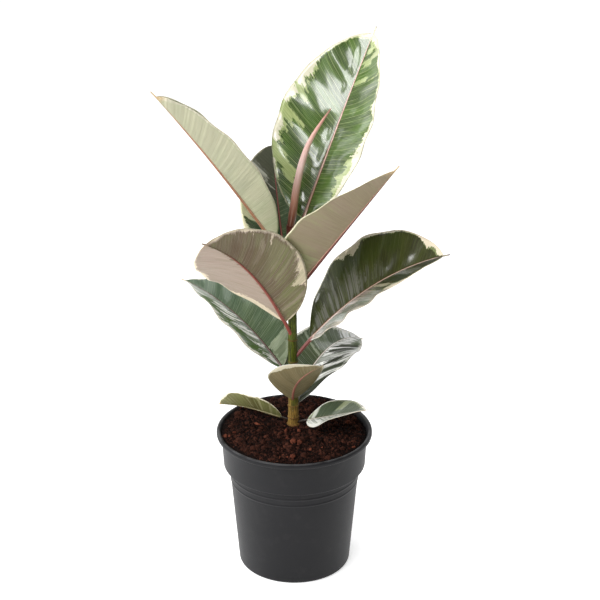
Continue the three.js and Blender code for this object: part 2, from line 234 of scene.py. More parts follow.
# The pot: a round nursery pot of charcoal plastic, moulded in one piece, with a collar, two fine
# ridges under it and a rolled rim. Its outline is turned once about the pot's middle.
def new_tree(name, **inputs):
    """An empty Geometry Nodes tree, as a graph, and a field for each of its inputs. One is its material."""
    tree = bpy.data.node_groups.new(name, "GeometryNodeTree")
    inputs["Material"] = "Material"
    for title, kind in inputs.items():
        tree.interface.new_socket(title, in_out="INPUT", socket_type="NodeSocket" + kind)
    tree.interface.new_socket("Geometry", in_out="OUTPUT", socket_type="NodeSocketGeometry")
    graph = GrowingGraph(tree)
    return graph, {title: graph.node("NodeGroupInput", None, title) for title in inputs}


class GrowingGraph(Graph):
    """A Geometry Nodes tree, with short names for the nodes that the pieces share."""

    def form(self, kind, sockets=None, output=0, **settings):
        return self.node("GeometryNode" + kind, sockets, output, **settings)

    def position(self):
        return self.form("InputPosition")

    def normal(self):
        return self.form("InputNormal")

    def moved(self, geometry, offset):
        return self.form("SetPosition", {"Geometry": geometry, "Offset": offset})

    def placed(self, geometry, position):
        return self.form("SetPosition", {"Geometry": geometry, "Position": position})

    def grid(self, columns, rows):
        """A sheet that runs from -1 to 1 in X and from 0 to 1 in Y, with fields for both."""
        sheet = self.form("MeshGrid", {
            "Size X": 2.0, "Size Y": 1.0, "Vertices X": columns, "Vertices Y": rows})
        return sheet, self.position().part(0), self.position().part(1) + 0.5

    def merged(self, geometry, distance):
        return self.form("MergeByDistance", {"Geometry": geometry, "Distance": distance})

    def join(self, *parts):
        joined = self.form("JoinGeometry")
        for part in parts:
            self.tree.links.new(part.socket, joined.socket.node.inputs[0])
        return joined

    def turned(self, outline, sides, points):
        """A closed shell: an outline, which is a chain of points in X and Z, turned once about Z."""
        sheet, turn, row = self.grid(sides + 1, points)
        along = self.form("SampleIndex", {
            "Geometry": outline, "Value": self.position(), "Index": row * (points - 1) + 0.1},
            data_type="FLOAT_VECTOR")
        radius, turn = along.part(0), turn * math.pi
        ring = self.vector(radius * turn.cosine(), radius * turn.sine(), along.part(2))
        return self.merged(self.placed(sheet, ring), 0.01 * mm)

    def keep(self, geometry, name, value):
        """Stores a number at each point, for the material to read."""
        return self.form("StoreNamedAttribute", {"Geometry": geometry, "Name": name, "Value": value},
                         data_type="FLOAT", domain="POINT")

    def kept(self, name):
        return self.form("InputNamedAttribute", {"Name": name}, data_type="FLOAT")

    def ring(self, sides, radius=1.0):
        return self.form("CurvePrimitiveCircle", {"Resolution": sides, "Radius": radius})

    def rod(self, line, section, thickness=1.0):
        """A closed rod along a line, whose section grows with the thickness at each point."""
        return self.form("CurveToMesh", {
            "Curve": line, "Profile Curve": section, "Scale": thickness, "Fill Caps": True})

    def finish(self, geometry):
        material = self.node("NodeGroupInput", None, "Material")
        smooth = self.form("SetShadeSmooth", {"Geometry": geometry})
        real = self.form("RealizeInstances", {0: smooth})
        done = self.form("SetMaterial", {"Geometry": real, "Material": material})
        self.node("NodeGroupOutput", {0: done})
        return self.tree


def turned_tree():
    graph, given = new_tree("turned", Outline="Geometry", Sides="Int", Points="Int")
    return graph.finish(graph.turned(given["Outline"], given["Sides"], given["Points"]))


def grow(name, tree, material, base=None, **sizes):
    """The plain mesh that a tree makes of a material and sizes, as an object of that name."""
    sizes["Material"] = material
    piece = bpy.data.objects.new(name, base or bpy.data.meshes.new(name))
    bpy.context.collection.objects.link(piece)
    modifier = piece.modifiers.new(name, "NODES")
    modifier.node_group = tree
    for socket in tree.interface.items_tree:
        if socket.name in sizes:
            modifier[socket.identifier] = sizes[socket.name]
    layers = bpy.context.evaluated_depsgraph_get()
    result = bpy.data.meshes.new_from_object(piece.evaluated_get(layers))
    piece.modifiers.remove(modifier)
    piece.data = result
    result.name = name
    return piece


def chain(name, points):
    """A mesh of points joined in a row."""
    mesh = bpy.data.meshes.new(name)
    mesh.from_pydata(points, [(i, i + 1) for i in range(len(points) - 1)], [])
    return mesh


def rounded(corners, steps=5):
    """An outline in (radius, height) whose corners are rounded by the radius that each one gives."""
    path = []
    for i, (r, z, ease) in enumerate(corners):
        if ease == 0:
            path.append((r, z))
            continue
        before, after = corners[i - 1], corners[i + 1]
        ends = []
        for other in (before, after):
            reach = math.hypot(other[0] - r, other[1] - z)
            share = min(ease / reach, 0.45)
            ends.append((r + (other[0] - r) * share, z + (other[1] - z) * share))
        for step in range(steps + 1):
            t = step / steps
            weights = ((1 - t) ** 2, 2 * t * (1 - t), t ** 2)
            path.append(tuple(sum(w * p[k] for w, p in zip(weights, (ends[0], (r, z), ends[1])))
                              for k in (0, 1)))
    return path


pot_height = 160.5
pot_wall = 1.5
foot_radius = 61.3
body_top_radius = 71.3
shoulder_bottom = 117
collar_bottom_radius, collar_bottom = 77.7, 120.3
collar_top_radius, collar_top = 79.5, 153.5
rim_radius, rim_bottom = 85, 154.7
rim_inner_radius, rim_inner_height = 81.2, 160
ridge_heights = (102, 110)
ridge_rise, ridge_half_width = 0.6, 1.5
floor_top, recess_top, foot_ring, hub = 5, 3, 54, 16
foot_round, rim_round = 1.6, 1.6
pot_sides = 192


def body_radius(z):
    return foot_radius + (body_top_radius - foot_radius) * z / shoulder_bottom


ridges = [(body_radius(z + side * ridge_half_width) + rise, z + side * ridge_half_width, ease)
          for z in ridge_heights for side, rise, ease in ((-1, 0, 0.6), (0, ridge_rise, 0.8), (1, 0, 0.6))]
pot_corners = [
    (0, 0, 0), (hub, 0, 0.8), (hub + 1, recess_top, 0.6), (foot_ring, recess_top, 0.6),
    (foot_ring + 1, 0, 0.8), (body_radius(0) - foot_round, 0, foot_round),
    (body_radius(2.4), 2.4, foot_round), *ridges,
    (body_top_radius, shoulder_bottom, 1.0), (collar_bottom_radius - 0.6, collar_bottom - 0.8, 0.8),
    (collar_bottom_radius, collar_bottom, 0.8), (collar_top_radius, collar_top, 0.8),
    (rim_radius - 0.9, rim_bottom, 1.0), (rim_radius, rim_bottom + 1.1, 1.2),
    (rim_radius, pot_height - rim_round, 1.4), (rim_radius - rim_round, pot_height, 1.4),
    (rim_inner_radius, rim_inner_height, 1.0), (collar_top_radius - pot_wall, collar_top, 1.5),
    (collar_bottom_radius - pot_wall, collar_bottom + 1, 1.0),
    (body_top_radius - pot_wall, shoulder_bottom + 1, 1.0),
    (body_radius(floor_top) - pot_wall, floor_top, 1.5), (0, floor_top, 0)]
pot_outline = [(r * mm, 0, z * mm) for r, z in rounded(pot_corners)]

charcoal, graph = new_material("charcoal plastic")
place = graph.place()
grain = graph.noise(place, 1400.0, 3.0, 0.6)
cloud = graph.noise(place, 18.0, 3.0, 0.55)
dust = graph.noise(place, 60.0, 4.0, 0.65).step(0.5, 0.8)
height = place.part(2)
# The rim's top is painted lighter: a little wear, and mostly a painted highlight along the lip.
at_rim = height.step((pot_height - rim_round) * mm, pot_height * mm)
rim_wear_and_highlight = at_rim * graph.noise(place, 60.0, 3.0).step(0.3, 0.6)
plastic = graph.mix(cloud.step(0.3, 0.7), (19, 19, 22), (22, 22, 25))
plastic = graph.mix(dust * 0.05, plastic, (92, 88, 86))
plastic = graph.mix(rim_wear_and_highlight * 0.5, plastic, (104, 104, 106))
graph.surface(plastic, grain.between(0.44, 0.54), grain + cloud * 0.5, 0.06 * mm, Specular_IOR_Level=0.24)
pot = grow("pot_shell", turned_tree(), charcoal, chain("pot outline", pot_outline),
           Sides=pot_sides, Points=len(pot_outline))
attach(pot, "root")
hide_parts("pot")


# The soil: dark peaty potting mix, heaped a little round the stem. It is a lumpy bed under loose
# crumbs, chips of reddish bark and a few root fibres, all of which lie where they fell.
soil_sides, soil_rings = 260, 120
soil_gap = 0.4 * mm
soil_wall_height, soil_stem_height = 157.5 * mm, 160.5 * mm
soil_back_rise, soil_dip, soil_dip_heading = 3 * mm, 3 * mm, math.radians(22)
soil_foot = 60 * mm
soil_radius = (collar_top_radius - pot_wall) * mm - soil_gap
soil_lumps = ((18 * mm, 2.6 * mm), (7 * mm, 3.4 * mm), (2.8 * mm, 1.8 * mm))
soil_outline = [
    (0, 0, soil_foot), (body_radius(60) * mm - pot_wall * mm - soil_gap, 0, soil_foot),
    ((body_top_radius - pot_wall) * mm - soil_gap, 0, (shoulder_bottom + 1) * mm),
    ((collar_bottom_radius - pot_wall) * mm - soil_gap, 0, (collar_bottom + 1) * mm + soil_gap),
    (soil_radius, 0, (collar_top - 2) * mm)]
soil_outline += [(soil_radius * (1 - i / soil_rings), 0, soil_wall_height) for i in range(soil_rings + 1)]


def soil_height(graph, place):
    """The height of the soil's top at a place."""
    x, y = place.part(0), place.part(1)
    reach = collar_top_radius * mm
    out = (x * x + y * y) ** 0.5 / reach
    heap = (out * out).between(soil_stem_height, soil_wall_height)
    back = (y / reach).step(0.2, 1.0) * soil_back_rise
    heading = x * math.cos(soil_dip_heading) + y * math.sin(soil_dip_heading)
    height = heap + back - (heading / reach).step(0.7, 1.0) * soil_dip
    flat = graph.vector(x, y, 0)
    for pitch, rise in soil_lumps:
        height = height + (graph.noise(flat, 1 / pitch, 1.0) - 0.5) * rise
    return height


def from_axis(place):
    return (place.part(0) ** 2 + place.part(1) ** 2) ** 0.5


def soil_bed_tree():
    graph, given = new_tree("soil bed", Outline="Geometry")
    bed = graph.turned(given["Outline"], soil_sides, len(soil_outline))
    place = graph.position()
    on_top = place.part(2) > soil_wall_height - 0.1 * mm
    height = soil_height(graph, place)
    # The wall flares below the rim, and the soil's edge follows it.
    edge = from_axis(place) > soil_radius - 0.1 * mm
    flare = (height - collar_top * mm) / ((rim_inner_height - collar_top) * mm)
    stretch = 1 + edge * flare * ((rim_inner_radius - collar_top_radius + pot_wall) * mm / soil_radius)
    top = graph.vector(place.part(0) * stretch, place.part(1) * stretch, height)
    bed = graph.form("SetPosition", {"Geometry": bed, "Selection": on_top, "Position": top})
    return graph.finish(bed)


def soil_paint(name, dark, light, roughness=0.95):
    """A soil finish that turns from dark to light with each grain's own tint."""
    material, graph = new_material(name)
    place = graph.place()
    tint = graph.attribute("tint") * 0.45 + graph.noise(place, 420.0, 5.0, 0.75).step(0.3, 0.7) * 0.55
    damp = graph.noise(place, 45.0, 3.0).step(0.42, 0.62)
    colour = graph.mix(tint.step(0.2, 0.95), dark, light)
    colour = graph.mix(damp * 0.4, colour, (16, 9, 7))
    graph.surface(colour, roughness, graph.noise(place, 700.0, 5.0, 0.75), 1.1 * mm, Specular_IOR_Level=0.1)
    return material


bed = grow("soil_bed", soil_bed_tree(), soil_paint("damp peat", (18, 8, 6), (48, 27, 21)),
           chain("soil outline", soil_outline))

grain_size_bias = 2.2


def scattered_tree(name, grain, least, most, squash, count, sink, seed, where, pitch, rough):
    """A tree that strews grains over a surface, with sizes in millimetres. where() gives their density
    at a place, from 0 to 1."""
    graph, given = new_tree(name, Ground="Geometry")
    place = graph.position()
    open_top = (graph.normal().part(2) > 0.2) * (place.part(2) > (collar_top - 1) * mm)
    area = math.pi * soil_radius ** 2
    points = graph.form("DistributePointsOnFaces", {
        "Mesh": given["Ground"], "Selection": open_top, "Density": where(graph, place) * (count / area),
        "Seed": seed}, distribute_method="RANDOM")

    def chance(low, high, salt, output=1):
        """A random number for each grain, or a random vector from output 0."""
        sockets = {2: low, 3: high} if output else {0: low, 1: high}
        return graph.node("FunctionNodeRandomValue", {**sockets, "Seed": seed + salt}, output,
                          data_type="FLOAT" if output else "FLOAT_VECTOR")

    points = graph.keep(points, "tint", chance(0.0, 1.0, 1))
    turn = graph.node("FunctionNodeEulerToRotation", {0: chance((0, 0, 0), (6.28, 6.28, 6.28), 2, 0)})
    size = chance(0.0, 1.0, 3) ** grain_size_bias
    shape = chance(squash, (1.0, 1.0, 1.0), 4, 0)
    strewn = graph.form("InstanceOnPoints", {
        "Points": points, "Instance": grain(graph), "Rotation": turn,
        "Scale": shape * size.between(least * mm, most * mm)})
    real = graph.form("RealizeInstances", {0: strewn})
    dent = (graph.noise(graph.position(), 1 / (pitch * mm), 2.0) - 0.5) * (rough * mm)
    dented = graph.moved(real, graph.normal() * dent)
    lowered = graph.moved(dented, graph.vector(0, 0, -sink * mm))
    return graph.finish(lowered)


def crumb(graph, fineness=1):
    return graph.form("MeshIcoSphere", {"Radius": 1.0, "Subdivisions": fineness})


def clod(graph):
    return crumb(graph, 2)


def fibre(graph):
    bow = graph.form("CurveQuadraticBezier", {
        "Resolution": 6, "Start": (-1, 0, 0), "Middle": (0, 0.7, 0.3), "End": (1, 0, 0)})
    return graph.rod(bow, graph.ring(4, 0.035))


def off_wall(place, gap):
    """1 where a place is at least a gap from the pot's wall, and 0 nearer to it."""
    return from_axis(place) < soil_radius - gap


def anywhere(graph, place):
    return graph.noise(place, 40.0, 1.0).step(0.3, 0.6, 0.5, 1.0) * off_wall(place, 1 * mm)


def well_inside(graph, place):
    return graph.noise(place, 60.0, 1.0).step(0.35, 0.6, 0.3, 1.0) * off_wall(place, 4.5 * mm)


def in_drifts(graph, place):
    """Mostly at the front and towards both sides, as watering leaves it."""
    front = place.part(1).step(0.05, -0.06)
    return graph.noise(place, 30.0, 1.0).step(0.42, 0.62) * front.between(0.35, 1.0)


# For each kind: its grain, its least and most size, its squash, how many, how deep they sink, the seed,
# where they lie, the pitch and depth of their dents, and the finish with its darkest and lightest tone.
strewn_kinds = {
    "soil_clods": (clod, 1.6, 4.6, (0.5, 0.5, 0.4), 1900, 0.8, 5, well_inside, 1.5, 3.6,
                   "peat clods", (14, 6, 5), (92, 54, 42)),
    "soil_crumbs": (crumb, 0.5, 1.9, (0.5, 0.5, 0.5), 5200, 0.1, 3, anywhere, 1.4, 0.6,
                    "peat crumbs", (22, 10, 8), (92, 54, 42)),
    "bark_chips": (crumb, 1.4, 5.4, (0.2, 0.4, 0.7), 130, -0.7, 17, in_drifts, 2, 0.8,
                   "bark", (78, 38, 28), (158, 92, 70)),
    "root_fibres": (fibre, 2.5, 6.5, (1.0, 0.6, 0.3), 190, -0.6, 29, anywhere, 2, 0.1,
                    "dry fibre", (64, 36, 26), (124, 84, 60))}
soil_pieces = [bed]
for name, (*kind, finish, dark, light) in strewn_kinds.items():
    material = soil_paint(finish, dark, light)
    soil_pieces.append(grow(name, scattered_tree(name, *kind), material, bed.data.copy()))
for strewn in soil_pieces:
    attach(strewn, "root")
    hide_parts("soil")


# The stem: one olive green shoot, a little bowed to the left, in a hole in the soil. Its bark is brown
# and corky at its foot, and a scar rings it below every leaf.
degree = math.pi / 180
stem_foot, stem_soil_line, stem_top, stem_lean = 130 * mm, 160 * mm, 392 * mm, -3 * mm
stem_place = (-1 * mm, 8 * mm)
stem_foot_radius, stem_top_radius, stem_rows, stem_sides = 6.2 * mm, 4.3 * mm, 420, 40
scar_rise, scar_half_height = 0.7 * mm, 1.3 * mm
foot_swell_heights, foot_swell_rise = (172 * mm, 158 * mm), 0.5
cork_heights, young_heights, tip_heights = (210 * mm, 174 * mm), (200 * mm, 380 * mm), (372 * mm, 386 * mm)
leaf_nodes = (163, 164, 172, 186, 209, 239, 265, 297, 315, 350, 361)


def share_of_stem(height):
    """How far up the stem a height is, from 0 at the soil to 1 at its tip."""
    return ((height - stem_soil_line) / (stem_top - stem_soil_line)).at_least(0).at_most(1)


def stem_centre(height):
    """The stem's middle in X and Y at a height, which is a field."""
    above = share_of_stem(height)
    return above * above * stem_lean + stem_place[0], stem_place[1]


def scar(height, reach):
    """How much of a scar ring is at a height, from 0 to 1, for rings of the given half height."""
    total = 0
    for node in leaf_nodes:
        past = (height - (node * mm - scar_half_height)) / reach
        total = (1 - past * past).at_least(0) ** 2 + total
    return total


def stem_tree():
    graph = new_tree("stem")[0]
    step = (stem_top + 3 * mm - stem_foot) / stem_rows
    line = graph.form("MeshLine", {"Count": stem_rows + 1, "Offset": (0, 0, step)})
    height = graph.position().part(2) + stem_foot
    line = graph.placed(line, graph.vector(*stem_centre(height), height))
    height = graph.position().part(2)
    radius = (share_of_stem(height) ** 0.5).between(stem_foot_radius, stem_top_radius)
    radius = radius + scar(height, scar_half_height) * scar_rise
    foot_swell = height.step(*foot_swell_heights) * foot_swell_rise * mm
    line = graph.keep(line, "radius of stem", radius + foot_swell)
    line = graph.form("MeshToCurve", {0: line})
    rod = graph.rod(line, graph.ring(stem_sides), graph.kept("radius of stem"))
    ripple = (graph.noise(graph.position() * (1, 1, 0.25), 260.0, 2.0) - 0.5) * 0.5 * mm
    return graph.finish(graph.moved(rod, graph.normal() * ripple))


bark, graph = new_material("olive bark")
place = graph.place()
height = place.part(2)
streak = graph.noise(place * (1, 1, 0.12), 900.0, 4.0, 0.65)
blotch = graph.noise(place * (1, 1, 0.5), 90.0, 3.0)
cork = (height + (blotch - 0.5) * 60 * mm).step(*cork_heights)
young = graph.mix(height.step(*young_heights), (88, 96, 22), (104, 118, 40))
green = graph.mix(streak.step(0.35, 0.65), young, (46, 52, 14))
brown = graph.mix(streak.step(0.35, 0.65), (170, 130, 66), (98, 74, 34))
colour = graph.mix(cork * 0.8, green, brown)
ring = scar(height, scar_half_height * 1.1).at_most(1)
colour = graph.mix(ring * 0.65, colour, (104, 70, 38))
colour = graph.mix(height.step(*tip_heights), colour, (96, 44, 38))
pore = graph.noise(place * (1, 1, 0.6), 1400.0, 1.0).step(0.68, 0.74)
colour = graph.mix(pore * 0.5, colour, (160, 142, 104))
graph.surface(colour, cork.between(0.5, 0.8), streak + pore * 0.5, 0.35 * mm, Specular_IOR_Level=0.2)
stem = grow("stem_shoot", stem_tree(), bark)
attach(stem, "root")
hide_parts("stem")


# The spear: the next leaf, rolled tight in its pink sheath, whose edge laps over along its length. It
# stands on the stem's tip and bends to the right.
spear_line = ((-4, 8, 392.3), (-1, 8, 412), (3.5, 8, 443), (10.6, 9, 472), (19.8, 10, 493.5),
              (38, 12, 521.5))
spear_radii = (3.7, 4.3, 4.1, 4.0, 3.9, 3.8, 3.3, 2.6, 2.0, 1.4, 0.45)
spear_rows, spear_sides, lap_share, spear_twist = 160, 48, 0.16, 1.3


def spear_tree():
    graph, given = new_tree("spear", Line="Geometry")
    line = graph.form("MeshToCurve", {0: given["Line"]})
    line = graph.form("CurveSplineType", {0: line}, spline_type="CATMULL_ROM")
    line = graph.form("ResampleCurve", {"Curve": line, "Count": spear_rows})
    along = graph.form("SplineParameter")
    line = graph.keep(line, "along", along)
    line = graph.form("SetCurveTilt", {"Curve": line, "Tilt": graph.kept("along") * spear_twist})
    most = max(spear_radii)
    stops = [(i / (len(spear_radii) - 1), radius / most) for i, radius in enumerate(spear_radii)]
    radius = graph.curve(graph.kept("along"), stops) * most * mm
    place = graph.position()
    angle = place.part(1).maths("ARCTAN2", place.part(1), place.part(0))
    section = graph.keep(graph.ring(spear_sides), "around", angle / (2 * math.pi) + 0.5)
    spread = 1 - lap_share / 2 + graph.kept("around") * lap_share
    section = graph.placed(section, graph.position() * spread)
    return graph.finish(graph.rod(line, section, radius))


sheath, graph = new_material("pink sheath")
place = graph.place()
along, around = graph.attribute("along"), graph.attribute("around")
fine = graph.noise(graph.vector(around * 40, along * 3, 0), 1.0, 3.0, 0.6)
base = graph.ramp(along, [(0.0, (98, 42, 34)), (0.1, (146, 84, 70)), (0.22, (200, 138, 120)),
                          (0.5, (244, 208, 202)), (0.82, (222, 166, 150)), (1.0, (150, 92, 62))])
lap = (around * (1 - around) * 4).step(0.75, 0.1)
colour = graph.mix(lap * 0.75, base, (176, 84, 82))
colour = graph.mix(fine.step(0.45, 0.7) * 0.4, colour, (236, 206, 196))
graph.surface(colour, 0.3, fine, 0.15 * mm)
spear = grow("rolled_spear", spear_tree(), sheath,
             chain("spear line", [(x * mm, y * mm, z * mm) for x, y, z in spear_line]))
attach(spear, "root")
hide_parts("bud_spear")


# The leaves: eleven leathery blades, each grown in one piece with its stalk and midrib, from a node of
# the stem. One rule bends and folds every blade. Its outline, its fold and its markings are its own.
blade_thickness = 0.7 * mm
stalk_base_radius, stalk_radius_per_width, stalk_tip_share = 0.6 * mm, 0.0125, 0.25
widest_power = 0.95
tip_half_width, drip_share, drip_end_half_width = 1.1 * mm, 0.04, 0.6 * mm
arch_power = 1.3
ripple_pitch, ripple_shift = 42 * mm, 0.35
midrib_steps, stalk_sides = 120, 14
blade_rows, blade_columns = 170, 57
row_crowding, column_crowding = 0.6, 0.65
leaf_inputs = ("node", "heading", "sweep", "rise", "arch", "petiole", "length", "width", "roll", "twist",
               "fold", "curl", "open", "blunt", "wave_left", "wave_right", "ruffle", "ruffle_pitch",
               "lean_left", "lean_right", "seed")
ruffle_run, tip_lean, right_seed = 70 * mm, 0.6, 31
edge_weld, edge_sharpness, end_sharpness, rib_sunk_share = 0.004 * mm, 24, 160, 0.62


def vein_start(share, from_rib, length, lean):
    """Where the side vein through a point leaves the midrib. Veins lean forward more towards the tip."""
    return share * length - from_rib * (lean + share * share * tip_lean)


def rib_radius(share, width):
    """The midrib's half width at a share of the blade's length."""
    return (stalk_base_radius + width * stalk_radius_per_width) * share.at_least(0).at_most(1).between(
        1, stalk_tip_share)


def leaf_tree():
    graph, given = new_tree("leaf", **dict.fromkeys(leaf_inputs, "Float"))
    (node, heading, sweep, rise, arch, petiole, length, width, roll, twist, fold, curl, unfold, blunt,
     wave_left, wave_right, ruffle_rise, ruffle_pitch, lean_left, lean_right, seed) = (
        given[name] for name in leaf_inputs)

    def share_of_blade(distance):
        return ((distance - petiole) / length).at_least(0).at_most(1)

    def bent_frame(distance):
        """The midrib's way at a distance from the stem, and the blade's right-hand side and top there."""
        along = (distance / (petiole + length)).at_most(1)
        climb = (rise - arch * along ** arch_power) * degree
        plan = (heading + sweep * along) * degree
        turn = (roll + twist * share_of_blade(distance)) * -degree
        way = graph.vector(climb.cosine() * plan.cosine(), climb.cosine() * plan.sine(), climb.sine())
        level = graph.vector(plan.sine(), -plan.cosine(), 0)
        right = level * turn.cosine() + way.cross(level) * turn.sine()
        return way, right, right.cross(way)

    # The midrib is summed up from short steps.
    end = 1 + drip_share
    step = (petiole + length * end) / midrib_steps
    line = graph.form("MeshLine", {"Count": midrib_steps + 1, "Offset": graph.vector(step, 0, 0)})
    distance = graph.position().part(0)
    way, right, top = bent_frame(distance + step * 0.5)
    travelled = graph.form("AccumulateField", {0: way * step}, 1, data_type="FLOAT_VECTOR")
    foot = graph.vector(*stem_centre(node), node)
    midrib_line = graph.placed(line, foot + travelled)
    midrib = graph.form("MeshToCurve", {0: midrib_line})

    def midrib_point(distance):
        return graph.form("SampleCurve", {"Curves": midrib, "Length": distance}, "Position",
                          mode="LENGTH", use_all_curves=True)

    # The blade's sheet, with columns that crowd beside the midrib and rows that crowd at its ends.
    sheet, column, even = graph.grid(blade_columns, blade_rows)
    share = (even - (even * (2 * math.pi)).sine() * (row_crowding / (2 * math.pi))) * end
    out = column * (1 - column_crowding + abs(column) * column_crowding)
    bulge = ((share.at_most(1) ** widest_power) * math.pi).sine().at_least(0) ** blunt
    past = ((share - 1) / drip_share).at_least(0)
    half_width = (width * 0.5 * bulge).at_least(past.between(tip_half_width, drip_end_half_width))
    sheet = graph.keep(sheet, "share", share)
    sheet = graph.keep(sheet, "out", out)
    sheet = graph.keep(sheet, "reach", out * half_width)
    share, out, reach = (graph.kept(name) for name in ("share", "out", "reach"))
    distance = petiole + share * length
    way, right, top = bent_frame(distance)
    in_blade = share.at_most(1)
    across = abs(out)
    lift = (fold - unfold * in_blade + curl * across * 0.5) * degree
    side = out > 0
    turns = share * length / ripple_pitch + side * ripple_shift + node / ripple_pitch
    wave = side.between(wave_left, wave_right) * across ** 2 * (turns * (2 * math.pi)).sine()
    wave = wave * (in_blade * math.pi).sine()
    # Between the side veins the blade swells and sinks a little, which breaks up its sheen.
    start = vein_start(share, abs(reach), length, side.between(lean_left, lean_right))
    ruffle_place = graph.vector(start / ruffle_pitch, abs(reach) / ruffle_run, seed + side * right_seed)
    ruffle = graph.noise(ruffle_place, 1.0, 1.0)
    wave = wave + (ruffle - 0.5) * ruffle_rise * abs(reach).step(1 * mm, 14 * mm) * (1 - across ** 6 * 0.6)
    raised = abs(reach) * lift.sine() + wave
    blade_point = midrib_point(distance) + right * (reach * lift.cosine()) + top * raised
    sheet = graph.placed(sheet, blade_point)

    # Both faces swell from the margin inwards, so that they meet in a soft edge.
    ends = (share * end_sharpness).at_most(1) * ((end - share) * end_sharpness).at_most(1)
    swell = (1 - across ** edge_sharpness) * ends
    half_depth = (swell.at_least(0) ** 0.5) * (blade_thickness / 2)
    upper = graph.keep(graph.moved(sheet, graph.normal() * half_depth), "upper", 1.0)
    under = graph.form("FlipFaces", {0: graph.moved(sheet, graph.normal() * -half_depth)})
    blade = graph.merged(graph.join(upper, under), edge_weld)

    # The stalk runs on as the midrib, a tapering rod that lies mostly below the sheet.
    order = graph.form("InputIndex")
    distance = order * step
    share = share_of_blade(distance)
    way, right, top = bent_frame(distance)
    radius = rib_radius(share, width)
    sunk = radius * (distance - petiole).step(-2 * mm, 12 * mm) * -rib_sunk_share
    rod = graph.moved(midrib, top * sunk)
    rod = graph.keep(graph.keep(rod, "share", share), "radius of rod", radius)
    rod = graph.keep(rod, "walked", distance)
    rod = graph.rod(rod, graph.ring(stalk_sides), graph.kept("radius of rod"))
    way, right, top = bent_frame(graph.kept("walked"))
    rod = graph.keep(graph.keep(rod, "rod", 1.0), "upper", (graph.normal().dot(top)).step(-0.2, 0.2))
    return graph.finish(graph.join(blade, rod))


# A row for each leaf, from its heading on, in the order of the inputs: degrees, millimetres and shares.
leaf_sizes = {
    "leaf_01_low_right": (
        329, 8, 23, 2, 19, 75, 56, -21, 34, 11, 1, 0, 0.7, 1, 1, 3, 22, 0.2, 0.9),
    "leaf_02_low_left": (
        178, -38, 22, 42, 14, 77, 46, -31, -1, 31, 11, 4, 0.65, 0.8, 1, 2, 22, 0.2, 0.2),
    "leaf_03_back_right": (
        53, -9, 67, 96, 13, 129, 77, -1, -16, 20, 17, 26, 0.8, 1, 2.5, 5, 22, 0.2, 0.8),
    "leaf_04_front": (
        260, 75, 60, 27, 8, 85, 67, -3, 32, 17, 12, 2, 0.72, 1, 1, 3, 30, 0.5, 0.5),
    "leaf_05_left": (
        140, 8, 45, 34, 23, 151, 95, 0, -13, 16, 2, 0, 0.68, 2, 1.5, 4, 22, 0.6, 0.25),
    "leaf_06_right": (
        345, -16, 55, 31, 34, 193, 115, -28, -4, 20, 8, 0, 0.7, 1.5, 2, 7, 20, 0.05, 1),
    "leaf_07_front_left": (
        232, 5, 61, 33, 28, 190, 107, -16, -35, 15, 0, 0, 0.7, 1, 1.5, 4, 30, 0.5, 0.8),
    "leaf_08_back": (
        105, -11, 53, 17, 27, 169, 98, -6, -6, 16, 2, 0, 0.66, 1.5, 1.5, 6, 22, 0.3, 0.2),
    "leaf_09_upper_right": (
        311, 17, 51, -2, 27, 191, 113, 9, -7, 29, 3, 12, 0.65, 0.8, 0.8, 3, 30, 0.2, 0.15),
    "leaf_10_upper_left": (
        186, -9, 57, 8, 36, 195, 104, -12, -6, 28, 14, 0, 0.62, 0.8, 1, 2.5, 40, 0.2, 0.2),
    "leaf_11_top": (
        46, -8, 62, 0, 41, 206, 129, -11, 0, 21, 10, 0, 0.58, 1.2, 1.5, 12, 30, 0.4, 0.15)}
leaf_sizes = {name: dict(zip(leaf_inputs, (node, *row)))
              for node, (name, row) in zip(leaf_nodes, leaf_sizes.items())}


# What each leaf shows, on its upper face and under it, where it differs from a plain leaf. A margin is
# written as place: width, with the place in percent of the length and the width in percent of the half
# blade. Cream is as wide as it says, and the pale green behind it reaches as far as its own margin says.
# A patch follows the veins: its side, its start and end on the midrib and its reach from it in percent,
# and its tone, which is 0 for green, 1 for pale and 2 for cream. A tint follows some of the strips between
# the veins: it has a strength and a colour in place of the tone. The dark tints are the leaf's own colour.
# Most near-white and grey tints on leaves 01, 03, 05, 06 and 08 are painted sheen, in part over pale
# variegation, and the grey tints under leaf 10 are painted shade.
left, right = "left", "right"
plain_look = dict(
    streak_pitch=2.2 * mm, ragged=1, lines=0.5, marbling=0.5, rib_fades=0.9, green=(66, 98, 44),
    deep=(40, 66, 28), pale=(176, 188, 122), cream=(246, 238, 206), rib=(204, 156, 138),
    tip=(186, 160, 120), under_green=(124, 117, 86), under_deep=(104, 97, 72), under_pale=(160, 155, 124),
    under_cream=(214, 202, 176), under_rib=(150, 84, 74), stalk=(140, 80, 70),
    cream_left={0: 8, 50: 8, 100: 25}, cream_right={0: 8, 50: 8, 100: 25},
    pale_left={0: 12, 50: 12, 100: 30}, pale_right={0: 12, 50: 12, 100: 30}, patches=[], tints_and_painted_light=[],
    under_tints_and_painted_light=[])
leaf_looks = {}
